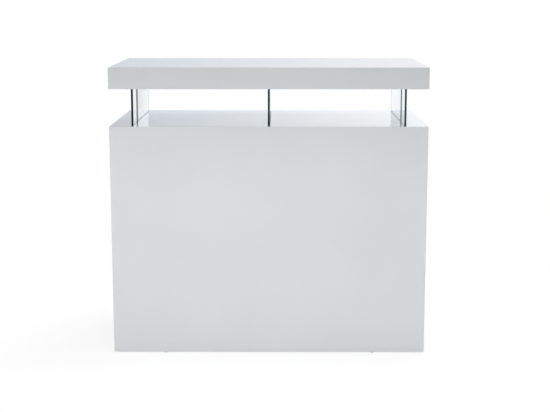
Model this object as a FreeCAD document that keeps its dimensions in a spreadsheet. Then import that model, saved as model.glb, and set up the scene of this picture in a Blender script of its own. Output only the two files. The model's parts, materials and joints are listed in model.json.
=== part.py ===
"""White lacquered bar counter: a panel-built body, open at the back with shelves, and a thick bar slab
carried above it on three lines of clear glass. Millimetres, +Z up, the guests' side faces -Y, and the
origin lies on the floor in the middle of the counter's footprint."""

import FreeCAD, Part
import os
import re

import Sketcher

# Driving dimensions: alias, value, what it is.
DIMENSIONS = [
    ("width", 1200, "body and slab, end to end"),
    ("depth", 600, "body and slab, front to back"),
    ("glide_height", 3, "floor to the lower edges of the panels"),
    ("carcass_height", 879, "front panel, lower edge to deck"),
    ("gap_height", 141, "clear height between deck and slab"),
    ("slab_height", 81, "thickness of the bar slab"),
    ("board", 18, "thickness of the body's panels"),
    ("slab_board", 18, "thickness of the slab's mitred boards and ribs"),
    ("shelf_board", 18, "thickness of a shelf"),
    ("edge_band", 1, "edging on the raw back edges"),
    ("kick_height", 60, "lower edge of the panels to the bottom panel"),
    ("kick_recess", 50, "toe space in front of the kick board"),
    ("glass", 8, "thickness of a pane"),
    ("pane_inset", 42, "counter's front and back faces to the panes"),
    ("end_inset", 83, "counter's ends to the middle of the outer panes"),
    ("groove_depth", 6, "seat of the panes in deck and slab"),
    ("gasket", 1, "wall of the channel gasket round a pane's edge"),
    ("post_setback", 164, "front face to the middle of a post"),
    ("post_width", 8, "post, side to side"),
    ("post_depth", 35, "post, front to back"),
    ("post_gap", 0.5, "post to the ends of the panes beside it"),
    ("rod_diameter", 5, "tie rods that clamp the slab down"),
    ("rod_clearance", 0.25, "tie rod to its holes, all round"),
    ("rod_reach", 12, "tie rod in the slab's lower board"),
    ("rod_tail", 3, "tie rod beyond its nut"),
    ("rod_anchor", 35, "underside of the deck to the barrel nut"),
    ("insert_diameter", 10, "threaded insert in the slab"),
    ("insert_length", 13, "threaded insert in the slab"),
    ("washer_diameter", 15, "washer under the deck"),
    ("washer_thickness", 1.2, "washer under the deck"),
    ("nut_size", 8, "hexagon nut, across the flats"),
    ("nut_height", 4, "hexagon nut"),
    ("barrel_diameter", 10, "barrel nut in the partition"),
    ("barrel_length", 14, "barrel nut in the partition"),
    ("thread_gap", 0.05, "screwed pieces to what they are screwed into"),
    ("lower_shelf_height", 250, "bottom panel to the lower shelves"),
    ("upper_shelf_height", 518, "bottom panel to the upper shelves"),
    ("shelf_gap", 1.5, "shelf to the walls beside it"),
    ("shelf_front_gap", 3, "shelf to the front panel"),
    ("shelf_setback", 15, "counter's back to the shelf edge"),
    ("shelf_lift", 0.3, "shelf to its pins"),
    ("pin_inset", 60, "pin rows to the front panel and to the counter's back"),
    ("pin_diameter", 5, "peg of a shelf pin"),
    ("pin_peg", 7.5, "peg of a shelf pin in its hole"),
    ("pin_reach", 9, "platform of a shelf pin, out from the wall"),
    ("pin_seat", 3, "peg's axis to the top of the platform"),
    ("pin_platform", 9, "width of the platform"),
    ("pin_wall", 1.5, "thickness of the platform's plate"),
    ("hole_pitch", 32, "step of the pin holes"),
    ("spare_holes", 2, "pin holes above, and below, the one in use"),
    ("hole_gap", 0.1, "hardware to its holes, all round"),
    ("cam_diameter", 15, "cam lock"),
    ("cam_depth", 13.5, "cam lock"),
    ("cam_setback", 24, "joint to the cam's middle"),
    ("cam_slot", 1.4, "driver slot of a cam"),
    ("cam_bore", 7, "mouth in a cam for the bolt's head"),
    ("bolt_bore", 8, "edge bore for a cam bolt"),
    ("bolt_thread", 5, "cam bolt's screwed end"),
    ("bolt_reach", 11, "cam bolt in the face it is screwed into"),
    ("bolt_head", 6, "cam bolt's head"),
    ("cover_diameter", 18, "cap over a cam"),
    ("cover_thickness", 1, "cap over a cam"),
    ("dowel_diameter", 8, "beech dowel"),
    ("dowel_face", 12, "dowel in a panel's face"),
    ("dowel_edge", 18, "dowel in a panel's edge"),
    ("cam_spot", 90, "panel corners to the nearest cam joints"),
    ("dowel_spot", 45, "panel corners to the nearest dowels"),
    ("middle_spot", 300, "middle of the counter to the joints along the front"),
    ("partition_spot", 200, "bottom panel and deck to the partition's front joints"),
    ("edge_spot", 20, "back edge to the joint behind the middle panes"),
    ("glide_diameter", 16, "floor glide"),
    ("glide_stem", 6, "stem of a glide"),
    ("glide_stem_length", 12, "stem of a glide"),
    ("glide_spot", 30, "panel ends to the glides"),
    ("glide_span", 400, "middle of the counter to the glides under the long boards"),
]

# Places that several pieces share, worked out from the driving dimensions.
PLACES = {
    "half_width": "width / 2",
    "front": "-depth / 2",
    "back": "depth / 2",
    "inner_front": "front + board",
    "board_back": "back - edge_band",
    "inner_side": "half_width - board",
    "side_middle": "half_width - board / 2",
    "panel_low": "glide_height",
    "bottom_low": "glide_height + kick_height",
    "bottom_high": "bottom_low + board",
    "deck_high": "glide_height + carcass_height",
    "deck_low": "deck_high - board",
    "slab_low": "deck_high + gap_height",
    "slab_high": "slab_low + slab_height",
    "kick_back": "back - kick_recess",
    "kick_front": "kick_back - board",
    "pane_line": "half_width - end_inset",
    "post_line": "front + post_setback",
    "front_pane_low": "front + pane_inset",
    "front_pane_high": "post_line - post_depth / 2 - post_gap",
    "back_pane_low": "post_line + post_depth / 2 + post_gap",
    "back_pane_high": "back - pane_inset",
    "groove_half": "glass / 2 + gasket",
    "rod_hole": "rod_diameter + 2 * rod_clearance",
    "front_pins": "inner_front + pin_inset",
    "back_pins": "back - pin_inset",
    "shelf_back": "back - shelf_setback",
    "shelf_near": "board / 2 + shelf_gap",
    "shelf_far": "inner_side - shelf_gap",
    "lower_shelf_low": "bottom_high + lower_shelf_height",
    "upper_shelf_low": "bottom_high + upper_shelf_height",
    "pin_drop": "shelf_lift + pin_seat",
    "cam_hole": "cam_diameter + 2 * hole_gap",
    "bolt_hole": "bolt_thread + 2 * thread_gap",
    "dowel_hole": "dowel_diameter + 2 * thread_gap",
}

PITCHED = {"left": "-1", "centre": "0", "right": "1"}
SIDES = {"left": "-1", "right": "1"}
AXES = "xyz"
NAMES = {name for name, _, _ in DIMENSIONS}

doc = FreeCAD.newDocument("BarCounter")
sheet = doc.addObject("Spreadsheet::Sheet", "Sizes")
for row, (name, value, note) in enumerate(DIMENSIONS, start=1):
    sheet.set(f"A{row}", str(value))
    sheet.setAlias(f"A{row}", name)
    sheet.set(f"B{row}", note)
doc.recompute()

corners = {}  # each body's low corner, as formulas
parts = []  # what is written out


def formula(text):
    """Spells a formula's names out as the sheet's cells."""

    def spell(match):
        word = match.group(0)
        if word in PLACES:
            return f"({formula(PLACES[word])})"
        return f"Sizes.{word}" if word in NAMES else word

    return re.sub(r"[a-z_]+", spell, text)


def bind(item, **settings):
    """Ties properties to the sheet: bind(box, Length="width")."""
    for name, text in settings.items():
        item.setExpression(name, formula(text))


def put(item, point):
    """Ties an object's place to the sheet."""
    for axis, text in zip(AXES, point):
        item.setExpression(f"Placement.Base.{axis}", formula(text))


def keep(item, name):
    """Names a finished sub-part and lists it for writing out."""
    item.Label = name
    parts.append(item)
    return item


def less(text, low):
    """The formula for text, measured from low."""
    return text if low == "0" else f"({text}) - ({low})"


def shift(point, direction, distance):
    """A point moved by a distance along a direction such as "+z"."""
    moved = list(point)
    place = AXES.index(direction[1])
    moved[place] = f"({moved[place]}) {direction[0]} ({distance})"
    return tuple(moved)


def opposite(direction):
    return ("-" if direction[0] == "+" else "+") + direction[1]


def vector(direction):
    """The unit vector of a direction such as "-y"."""
    sign = 1 if direction[0] == "+" else -1
    return FreeCAD.Vector(*(sign * (axis == direction[1]) for axis in AXES))


# Sketches ----------------------------------------------------------------------------------------

# The origin plane across each axis, the side that its normal points to, and the axes drawn on it.
PLANES = {"x": ("YZ_Plane", "+", "yz"), "y": ("XZ_Plane", "-", "xz"), "z": ("XY_Plane", "+", "xy")}


def sketch_across(body, axis, level):
    """A sketch across an axis, at a level along it in the body's own frame."""
    role, side, _ = PLANES[axis]
    sketch = body.newObject("Sketcher::SketchObject", f"{body.Name}Sketch")
    plane = next(item for item in body.Origin.OriginFeatures if item.Role == role)
    sketch.AttachmentSupport = (plane, [""])
    sketch.MapMode = "FlatFace"
    sketch.setExpression("AttachmentOffset.Base.z", formula(f"{side}1 * ({level})"))
    return sketch


def fix_point(sketch, line, end, point):
    """Ties a sketch point to the sheet, by its distances from the sketch's origin."""
    for kind, axis_line, text in (("DistanceX", -2, point[0]), ("DistanceY", -1, point[1])):
        if text == "0":
            sketch.addConstraint(Sketcher.Constraint("PointOnObject", line, end, axis_line))
        else:
            number = sketch.addConstraint(Sketcher.Constraint(kind, -1, 1, line, end, 1.0))
            sketch.setExpression(f"Constraints[{number}]", formula(text))


def outline(sketch, points):
    """A closed outline through points. They are drawn on a wide ring first, in the same order."""
    count = len(points)
    turns = [FreeCAD.Rotation(FreeCAD.Vector(0, 0, 1), 360 * i / count) for i in range(count)]
    ring = [turn.multVec(FreeCAD.Vector(-1, -1, 0)) for turn in turns]
    for i in range(count):
        sketch.addGeometry(Part.LineSegment(ring[i], ring[(i + 1) % count]))
    for i in range(count):
        sketch.addConstraint(Sketcher.Constraint("Coincident", i, 2, (i + 1) % count, 1))
    for i, point in enumerate(points):
        fix_point(sketch, i, 1, point)


def rectangle(low, high):
    """The corner points of a rectangle."""
    return [low, (high[0], low[1]), high, (low[0], high[1])]


def circle(sketch, centre, diameter):
    line = sketch.addGeometry(Part.Circle(FreeCAD.Vector(1, 1, 0), FreeCAD.Vector(0, 0, 1), 1))
    fix_point(sketch, line, 3, centre)
    number = sketch.addConstraint(Sketcher.Constraint("Diameter", line, 2.0))
    sketch.setExpression(f"Constraints[{number}]", formula(diameter))


# Bodies ------------------------------------------------------------------------------------------


def new_body(name, low):
    body = doc.addObject("PartDesign::Body", name)
    corners[body.Name] = low
    put(body, low)
    return body


def board(name, low, high):
    """A panel between two corners: a rectangle padded upwards."""
    body = new_body(name, low)
    size = [less(top, bottom) for top, bottom in zip(high, low)]
    sketch = sketch_across(body, "z", "0")
    outline(sketch, rectangle(("0", "0"), (size[0], size[1])))
    pad = body.newObject("PartDesign::Pad", f"{name}Pad")
    pad.Profile = sketch
    bind(pad, Length=size[2])
    return keep(body, name)


def mitred_board(name, low, high, face):
    """A board whose four edges are mitred from its outer face inwards, such as face "-y"."""
    axis = face[1]
    place = AXES.index(axis)
    body = new_body(name, low)
    size = [less(top, bottom) for top, bottom in zip(high, low)]
    _, side, drawn = PLANES[axis]
    sketch = sketch_across(body, axis, "0" if face[0] == "-" else size[place])
    outline(sketch, rectangle(("0", "0"), tuple(size[AXES.index(letter)] for letter in drawn)))
    pad = body.newObject("PartDesign::Pad", f"{name}Pad")
    pad.Profile = sketch
    pad.Reversed = face[0] == side
    bind(pad, Length=size[place], TaperAngle="-45")
    return keep(body, name)


def pocket(body, sketch, direction, depth):
    """Cuts a sketch into a body along a direction."""
    recess = body.newObject("PartDesign::Pocket", f"{body.Name}Pocket")
    recess.Profile = sketch
    recess.Reversed = direction[0] == PLANES[direction[1]][1]
    bind(recess, Length=depth)
    return recess


def local(body, point):
    return [less(text, low) for text, low in zip(point, corners[body.Name])]


def on_plane(point, axis):
    return tuple(point[AXES.index(letter)] for letter in PLANES[axis][2])


def drill(body, points, direction, diameter, depth):
    """Round holes from points that share one level, along a direction."""
    axis = direction[1]
    starts = [local(body, point) for point in points]
    sketch = sketch_across(body, axis, starts[0][AXES.index(axis)])
    for start in starts:
        circle(sketch, on_plane(start, axis), diameter)
    return pocket(body, sketch, direction, depth)


def groove(body, low, high, direction, depth):
    """A straight-sided recess from the level of low, along a direction."""
    axis = direction[1]
    first, last = local(body, low), local(body, high)
    sketch = sketch_across(body, axis, first[AXES.index(axis)])
    outline(sketch, rectangle(on_plane(first, axis), on_plane(last, axis)))
    return pocket(body, sketch, direction, depth)


def turned(name, profile):
    """A body turned about its own Z axis from (radius, height) points."""
    body = doc.addObject("PartDesign::Body", name)
    sketch = sketch_across(body, "y", "0")
    outline(sketch, profile)
    turn = body.newObject("PartDesign::Revolution", f"{name}Turn")
    turn.Profile = sketch
    turn.ReferenceAxis = (sketch, ["V_Axis"])
    turn.Angle = 360
    return body


def block(name, low, high):
    """A plain box between two corners."""
    box = doc.addObject("Part::Box", name)
    size = [less(top, bottom) for top, bottom in zip(high, low)]
    bind(box, Length=size[0], Width=size[1], Height=size[2])
    put(box, low)
    return box


def rod(name, base, diameter, length, direction="+z"):
    """A plain cylinder from a base point, along a direction."""
    cylinder = doc.addObject("Part::Cylinder", name)
    bind(cylinder, Radius=f"({diameter}) / 2", Height=length)
    cylinder.Placement.Rotation = FreeCAD.Rotation(FreeCAD.Vector(0, 0, 1), vector(direction))
    put(cylinder, base)
    return cylinder


def cut(name, base, tool):
    result = doc.addObject("Part::Cut", name)
    result.Base, result.Tool = base, tool
    return result


def fuse(name, base, tool):
    result = doc.addObject("Part::Fuse", name)
    result.Base, result.Tool = base, tool
    return result


def gather(name, pieces):
    """One sub-part made of separate pieces of a kind."""
    group = doc.addObject("Part::Compound", name)
    group.Links = pieces
    return keep(group, name)


def copies(name, master, places):
    """One sub-part made of copies of a master piece, each at a point with a rotation."""
    links = []
    for point, rotation in places:
        link = doc.addObject("App::Link", f"{name}Copy")
        link.LinkedObject = master
        link.LinkTransform = False
        link.Placement.Rotation = rotation
        put(link, point)
        links.append(link)
    return gather(name, links)


# Body panels -------------------------------------------------------------------------------------

front_panel = board(
    "front_panel",
    ("-half_width", "front", "panel_low"),
    ("half_width", "inner_front", "deck_high"),
)
deck_panel = board(
    "deck_panel",
    ("-half_width", "inner_front", "deck_low"),
    ("half_width", "back", "deck_high"),
)
bottom_panel = board(
    "bottom_panel",
    ("-inner_side", "inner_front", "bottom_low"),
    ("inner_side", "board_back", "bottom_high"),
)
centre_partition = board(
    "centre_partition",
    ("-board / 2", "inner_front", "bottom_high"),
    ("board / 2", "board_back", "deck_low"),
)
kick_board = board(
    "kick_board",
    ("-inner_side", "kick_front", "panel_low"),
    ("inner_side", "kick_back", "bottom_low"),
)
floor_stretcher = board(
    "floor_stretcher",
    ("-board / 2", "inner_front", "panel_low"),
    ("board / 2", "kick_front", "bottom_low"),
)
side_panels = {
    "left": board(
        "left_side_panel",
        ("-half_width", "inner_front", "panel_low"),
        ("-inner_side", "board_back", "deck_low"),
    ),
    "right": board(
        "right_side_panel",
        ("inner_side", "inner_front", "panel_low"),
        ("half_width", "board_back", "deck_low"),
    ),
}

# Edging on the raw back edges of the inner panels.
EDGINGS = {
    "left_side_edging": (("-half_width", "panel_low"), ("-inner_side", "deck_low")),
    "right_side_edging": (("inner_side", "panel_low"), ("half_width", "deck_low")),
    "partition_edging": (("-board / 2", "bottom_high"), ("board / 2", "deck_low")),
    "bottom_edging": (("-inner_side", "bottom_low"), ("inner_side", "bottom_high")),
}
for name, ((left, low), (right, high)) in EDGINGS.items():
    keep(block(name, (left, "board_back", low), (right, "back", high)), name)


# Bar slab: a hollow box of mitred boards with a rib over each line of glass ----------------------

SLAB = {
    "slab_top": (("-half_width", "front", "slab_high - slab_board"),
                 ("half_width", "back", "slab_high"), "+z"),
    "slab_underside": (("-half_width", "front", "slab_low"),
                       ("half_width", "back", "slab_low + slab_board"), "-z"),
    "slab_front": (("-half_width", "front", "slab_low"),
                   ("half_width", "front + slab_board", "slab_high"), "-y"),
    "slab_back": (("-half_width", "back - slab_board", "slab_low"),
                  ("half_width", "back", "slab_high"), "+y"),
    "slab_left_end": (("-half_width", "front", "slab_low"),
                      ("-half_width + slab_board", "back", "slab_high"), "-x"),
    "slab_right_end": (("half_width - slab_board", "front", "slab_low"),
                       ("half_width", "back", "slab_high"), "+x"),
}
slab = {name: mitred_board(name, *where) for name, where in SLAB.items()}
for name, sign in PITCHED.items():
    line = f"{sign} * pane_line"
    board(
        f"slab_{name}_rib",
        (f"{line} - slab_board / 2", "front + slab_board", "slab_low + slab_board"),
        (f"{line} + slab_board / 2", "back - slab_board", "slab_high - slab_board"),
    )


# Glass supports ----------------------------------------------------------------------------------

PANES = {
    "front": ("front_pane_low", "front_pane_high"),
    "back": ("back_pane_low", "back_pane_high"),
}


def channel(name, line, ends, low, high, opening):
    """A channel gasket along a pane's edge, with its slot open up or down."""
    outer = block(
        f"{name}Outer",
        (f"{line} - groove_half", ends[0], low),
        (f"{line} + groove_half", ends[1], high),
    )
    slot_low, slot_high = (f"({low}) + gasket", high) if opening == "up" else (low, f"({high}) - gasket")
    slot = block(
        f"{name}Slot",
        (f"{line} - glass / 2", ends[0], slot_low),
        (f"{line} + glass / 2", ends[1], slot_high),
    )
    return cut(name, outer, slot)


lower_gaskets, upper_gaskets = [], []
for name, sign in PITCHED.items():
    line = f"{sign} * pane_line"
    for end, (near, far) in PANES.items():
        board(
            f"{name}_{end}_pane",
            (f"{line} - glass / 2", near, "deck_high - groove_depth + gasket"),
            (f"{line} + glass / 2", far, "slab_low + groove_depth - gasket"),
        )
        low, high = (f"{line} - groove_half", near), (f"{line} + groove_half", far)
        groove(deck_panel, (*low, "deck_high"), (*high, "deck_high"), "-z", "groove_depth")
        groove(slab["slab_underside"], (*low, "slab_low"), (*high, "slab_low"), "+z", "groove_depth")
        title = f"{name}_{end}"
        lower_gaskets.append(
            channel(f"{title}_foot", line, (near, far), "deck_high - groove_depth", "deck_high", "up")
        )
        upper_gaskets.append(
            channel(f"{title}_head", line, (near, far), "slab_low", "slab_low + groove_depth", "down")
        )
gather("lower_pane_gaskets", lower_gaskets)
gather("upper_pane_gaskets", upper_gaskets)

# Posts: a flat bar between the two panes of each line, clamped by a tie rod through its middle.
rod_points = {name: (f"{sign} * pane_line", "post_line") for name, sign in PITCHED.items()}
for name, (line, middle) in rod_points.items():
    low = (f"{line} - post_width / 2", f"{middle} - post_depth / 2", "deck_high")
    high = (f"{line} + post_width / 2", f"{middle} + post_depth / 2", "slab_low")
    post = board(f"{name}_post", low, high)
    drill(post, [(line, middle, "slab_low")], "-z", "rod_hole", "gap_height")
drill(deck_panel, [(*point, "deck_high") for point in rod_points.values()], "-z", "rod_hole", "board")
drill(
    slab["slab_underside"],
    [(*point, "slab_low") for point in rod_points.values()],
    "+z",
    "insert_diameter + 2 * hole_gap",
    "insert_length",
)
inserts = [
    cut(
        f"{name}_insert",
        rod(f"{name}InsertOuter", (*point, "slab_low"), "insert_diameter", "insert_length"),
        rod(f"{name}InsertBore", (*point, "slab_low"), "rod_diameter + 2 * thread_gap", "insert_length"),
    )
    for name, point in rod_points.items()
]
gather("slab_inserts", inserts)

# The outer tie rods end in a washer and nut under the deck, the middle one in the partition.
washers, nuts, outer_rods = [], [], []
for name in SIDES:
    line, middle = rod_points[name]
    washer_low = "deck_low - washer_thickness"
    nut_low = f"{washer_low} - nut_height"
    washer = rod(f"{name}Washer", (line, middle, washer_low), "washer_diameter", "washer_thickness")
    washer_bore = rod(f"{name}WasherBore", (line, middle, washer_low), "rod_hole", "washer_thickness")
    washers.append(cut(f"{name}_washer", washer, washer_bore))
    nut = doc.addObject("Part::Prism", f"{name}Nut")
    nut.Polygon = 6
    bind(nut, Circumradius="nut_size / sqrt(3)", Height="nut_height")
    put(nut, (line, middle, nut_low))
    nut_bore = rod(f"{name}NutBore", (line, middle, nut_low), "rod_diameter + 2 * thread_gap", "nut_height")
    nuts.append(cut(f"{name}_nut", nut, nut_bore))
    low = f"{nut_low} - rod_tail"
    outer_rods.append(
        rod(f"{name}_rod", (line, middle, low), "rod_diameter", f"slab_low + rod_reach - ({low})")
    )
gather("tie_rod_washers", washers)
gather("tie_rod_nuts", nuts)
gather("outer_tie_rods", outer_rods)

anchor_low = "deck_low - rod_anchor"
anchor_tip = f"{anchor_low} - barrel_diameter / 2 - rod_tail"
middle_rod = rod(
    "middle_tie_rod",
    ("0", "post_line", anchor_tip),
    "rod_diameter",
    f"slab_low + rod_reach - ({anchor_tip})",
)
keep(middle_rod, "middle_tie_rod")
drill(
    centre_partition,
    [("0", "post_line", "deck_low")],
    "-z",
    "rod_hole",
    "rod_anchor + barrel_diameter / 2 + 2 * rod_tail",
)
drill(
    centre_partition,
    [("board / 2", "post_line", anchor_low)],
    "-x",
    "barrel_diameter + 2 * hole_gap",
    "board / 2 + barrel_length / 2",
)
barrel_end = ("-barrel_length / 2", "post_line", anchor_low)
barrel = rod("Barrel", barrel_end, "barrel_diameter", "barrel_length", "+x")
barrel_bore = rod(
    "BarrelBore",
    ("0", "post_line", f"{anchor_low} - barrel_diameter / 2"),
    "rod_diameter + 2 * thread_gap",
    "barrel_diameter",
)
keep(cut("barrel_nut", barrel, barrel_bore), "barrel_nut")


# Shelves and their pins --------------------------------------------------------------------------

SHELVES = {"lower": "lower_shelf_low", "upper": "upper_shelf_low"}
pins = []
about_z = {"left": FreeCAD.Rotation(), "right": FreeCAD.Rotation(FreeCAD.Vector(0, 0, 1), 180)}
for side, sign in SIDES.items():
    near, far = ("-shelf_far", "-shelf_near") if side == "left" else ("shelf_near", "shelf_far")
    for level, underside in SHELVES.items():
        top = f"{underside} + shelf_board"
        board(
            f"{side}_{level}_shelf",
            (near, "inner_front + shelf_front_gap", underside),
            (far, "shelf_back - edge_band", top),
        )
        edging = f"{side}_{level}_shelf_edging"
        keep(block(edging, (near, "shelf_back - edge_band", underside), (far, "shelf_back", top)), edging)
        for row in ("front_pins", "back_pins"):
            peg = f"{underside} - pin_drop"
            pins.append(((f"{sign} * inner_side", row, peg), about_z[side]))
            other = "right" if side == "left" else "left"
            pins.append(((f"{sign} * board / 2", row, peg), about_z[other]))


def pin_holes(body, level, direction, depth):
    """Two rows of pin holes for each shelf, the lowest drilled and the others stepped up from it."""
    below = "pin_drop + spare_holes * hole_pitch"
    starts = [
        (level, row, f"{underside} - ({below})")
        for underside in SHELVES.values()
        for row in ("front_pins", "back_pins")
    ]
    hole = drill(body, starts, direction, "pin_diameter + 2 * hole_gap", depth)
    rows = body.newObject("PartDesign::LinearPattern", f"{body.Name}PinRows")
    rows.Originals = [hole]
    rows.Direction = (hole.Profile[0], ["V_Axis"])
    bind(rows, Length="2 * spare_holes * hole_pitch", Occurrences="2 * spare_holes + 1")
    body.Tip = rows


pin_holes(side_panels["left"], "-inner_side", "-x", "pin_peg + hole_gap")
pin_holes(side_panels["right"], "inner_side", "+x", "pin_peg + hole_gap")
pin_holes(centre_partition, "board / 2", "-x", "board")

# A pin: a peg, and an angle plate whose upright leg lies on the wall and whose flat leg takes the shelf.
peg = rod("PinPeg", ("-pin_peg", "0", "0"), "pin_diameter", "pin_peg", "+x")
pin_half = "pin_platform / 2"
plate = block("PinPlate", ("0", f"-{pin_half}", "pin_seat - pin_wall"), ("pin_reach", pin_half, "pin_seat"))
flange = block("PinFlange", ("0", f"-{pin_half}", f"-{pin_half}"), ("pin_wall", pin_half, "pin_seat"))
shelf_pin = fuse("ShelfPin", fuse("PinAngle", plate, flange), peg)
copies("shelf_pins", shelf_pin, pins)


# Knock-down hardware -----------------------------------------------------------------------------

cams, bolts, dowels, covers = [], [], [], []


def cam_joint(holder, face, mate, pull, seats, covered=True):
    """Cam locks let into the holder's face, each drawing a bolt screwed into the mate.

    face: the direction that the holder's drilled face looks; pull: from the holder towards the mate.
    seats: points on the joint, in the middle of the holder's thickness."""
    centres = [shift(shift(seat, opposite(pull), "cam_setback"), face, "board / 2") for seat in seats]
    drill(holder, centres, opposite(face), "cam_hole", "cam_depth")
    drill(holder, seats, opposite(pull), "bolt_bore", "cam_setback")
    drill(mate, seats, pull, "bolt_hole", "bolt_reach")
    along, outward = vector(pull), vector(face)
    cam_turn = FreeCAD.Rotation(along, outward.cross(along), outward, "ZXY")
    bolt_turn = FreeCAD.Rotation(outward, along.cross(outward), along, "ZXY")
    cams.extend((centre, cam_turn) for centre in centres)
    bolts.extend((seat, bolt_turn) for seat in seats)
    if covered:
        covers.extend((centre, cam_turn) for centre in centres)


def dowel_joint(edge_board, face_board, direction, seats):
    """Dowels from one board's edge into another's face. direction: from the edge into the face."""
    drill(edge_board, seats, opposite(direction), "dowel_hole", "dowel_edge")
    drill(face_board, seats, direction, "dowel_hole", "dowel_face")
    turn = FreeCAD.Rotation(FreeCAD.Vector(0, 0, 1), vector(direction))
    dowels.extend((seat, turn) for seat in seats)


outer_rows = ("inner_front + cam_spot", "back - cam_spot")
dowel_rows = ("inner_front + dowel_spot", "back - dowel_spot")
panel_middle = "(panel_low + deck_high) / 2"
for side, sign in SIDES.items():
    panel = side_panels[side]
    inward = "+x" if side == "left" else "-x"
    outward = opposite(inward)
    middle, wall = f"{sign} * side_middle", f"{sign} * inner_side"
    cam_joint(panel, inward, deck_panel, "+z", [(middle, row, "deck_low") for row in outer_rows])
    dowel_joint(panel, deck_panel, "+z", [(middle, row, "deck_low") for row in dowel_rows])
    heights = ("panel_low + cam_spot", panel_middle, "deck_low - cam_spot")
    cam_joint(panel, inward, front_panel, "-y", [(middle, "inner_front", height) for height in heights])
    heights = ("panel_low + dowel_spot", "deck_low - dowel_spot")
    dowel_joint(panel, front_panel, "-y", [(middle, "inner_front", height) for height in heights])
    level = "bottom_low + board / 2"
    cam_joint(bottom_panel, "-z", panel, outward, [(wall, row, level) for row in outer_rows], False)
    dowel_joint(bottom_panel, panel, outward, [(wall, row, level) for row in dowel_rows])
    kick_seat = (wall, "kick_back - board / 2", "(panel_low + bottom_low) / 2")
    cam_joint(kick_board, "-y", panel, outward, [kick_seat], False)

along_front = ("-middle_spot", "middle_spot")
cam_joint(
    deck_panel, "-z", front_panel, "-y",
    [(line, "inner_front", "deck_low + board / 2") for line in along_front],
)
cam_joint(
    bottom_panel, "-z", front_panel, "-y",
    [(line, "inner_front", "bottom_low + board / 2") for line in along_front],
    False,
)
heights = ("bottom_high + partition_spot", "deck_low - partition_spot")
cam_joint(centre_partition, "+x", front_panel, "-y", [("0", "inner_front", level) for level in heights])
cam_joint(centre_partition, "+x", bottom_panel, "-z", [("0", row, "bottom_high") for row in outer_rows])
cam_joint(centre_partition, "+x", deck_panel, "+z", [("0", "back - edge_spot", "deck_low")])
dowel_joint(centre_partition, bottom_panel, "-z", [("0", row, "bottom_high") for row in dowel_rows])
stretcher_seat = "(panel_low + bottom_low) / 2"
dowel_joint(floor_stretcher, front_panel, "-y", [("0", "inner_front", stretcher_seat)])
dowel_joint(floor_stretcher, kick_board, "+y", [("0", "kick_front", stretcher_seat)])

# A cam: a short drum with a mouth for the bolt's head in its side and a driver slot in its face.
cam = turned(
    "CamLock",
    [("0", "-cam_depth"), ("cam_diameter / 2", "-cam_depth"), ("cam_diameter / 2", "0"), ("0", "0")],
)
corners[cam.Name] = ("0", "0", "0")
drill(cam, [("cam_diameter", "0", "-board / 2")], "-x", "cam_bore", "cam_diameter + bolt_head / 2")
groove(
    cam,
    ("-cam_diameter / 3", "-cam_slot / 2", "0"),
    ("cam_diameter / 3", "cam_slot / 2", "0"),
    "-z",
    "cam_slot",
)
copies("cam_locks", cam, cams)

# A cam bolt: head in the cam, thin neck, collar on the joint, screwed end in the mate.
cam_bolt = turned(
    "CamBolt",
    [
        ("0", "-cam_setback - bolt_head / 3"),
        ("bolt_head / 2", "-cam_setback - bolt_head / 3"),
        ("bolt_head / 2", "-cam_setback + bolt_head / 3"),
        ("bolt_head / 3", "-cam_setback + bolt_head / 3"),
        ("bolt_head / 3", "-bolt_thread"),
        ("bolt_bore / 2 - hole_gap", "-bolt_thread"),
        ("bolt_bore / 2 - hole_gap", "0"),
        ("bolt_thread / 2", "0"),
        ("bolt_thread / 2", "bolt_reach"),
        ("0", "bolt_reach"),
    ],
)
copies("cam_bolts", cam_bolt, bolts)

cover = turned(
    "CamCover",
    [
        ("0", "0"),
        ("cover_diameter / 2", "0"),
        ("cover_diameter / 2", "cover_thickness / 2"),
        ("cover_diameter / 2 - cover_thickness", "cover_thickness"),
        ("0", "cover_thickness"),
    ],
)
copies("cam_covers", cover, covers)

dowel = turned(
    "Dowel",
    [
        ("0", "-dowel_edge"),
        ("dowel_diameter / 2", "-dowel_edge"),
        ("dowel_diameter / 2", "dowel_face"),
        ("0", "dowel_face"),
    ],
)
copies("dowels", dowel, dowels)


# Floor glides ------------------------------------------------------------------------------------

upright = FreeCAD.Rotation()
glides = {
    "front_panel": [(f"{sign} * glide_span", "front + board / 2", "panel_low") for sign in SIDES.values()],
    "kick_board": [(f"{sign} * glide_span", "kick_back - board / 2", "panel_low") for sign in SIDES.values()],
    "floor_stretcher": [("0", "0", "panel_low")],
}
for side, sign in SIDES.items():
    rows = ("inner_front + glide_spot", "back - glide_spot")
    glides[f"{side}_side_panel"] = [(f"{sign} * side_middle", row, "panel_low") for row in rows]
for name, points in glides.items():
    drill(doc.getObject(name), points, "+z", "glide_stem + 2 * hole_gap", "glide_stem_length")
glide = turned(
    "FloorGlide",
    [
        ("0", "-glide_height"),
        ("glide_diameter / 2 - glide_height / 3", "-glide_height"),
        ("glide_diameter / 2", "-glide_height * 2 / 3"),
        ("glide_diameter / 2", "0"),
        ("glide_stem / 2", "0"),
        ("glide_stem / 2", "glide_stem_length"),
        ("0", "glide_stem_length"),
    ],
)
copies("floor_glides", glide, [(point, upright) for points in glides.values() for point in points])


# Checks and files --------------------------------------------------------------------------------

doc.recompute()
for item in doc.Objects:
    if "Invalid" in item.State or "Error" in item.State:
        raise RuntimeError(f"{item.Label} failed to build: {item.State}")
    if item.isDerivedFrom("PartDesign::Pocket"):
        if item.Shape.Volume > item.BaseFeature.Shape.Volume - 1:
            raise RuntimeError(f"{item.Label} cuts nothing")
for item in parts:
    if item.Shape.isNull() or not item.Shape.isValid():
        raise RuntimeError(f"{item.Label} has no valid shape")

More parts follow.
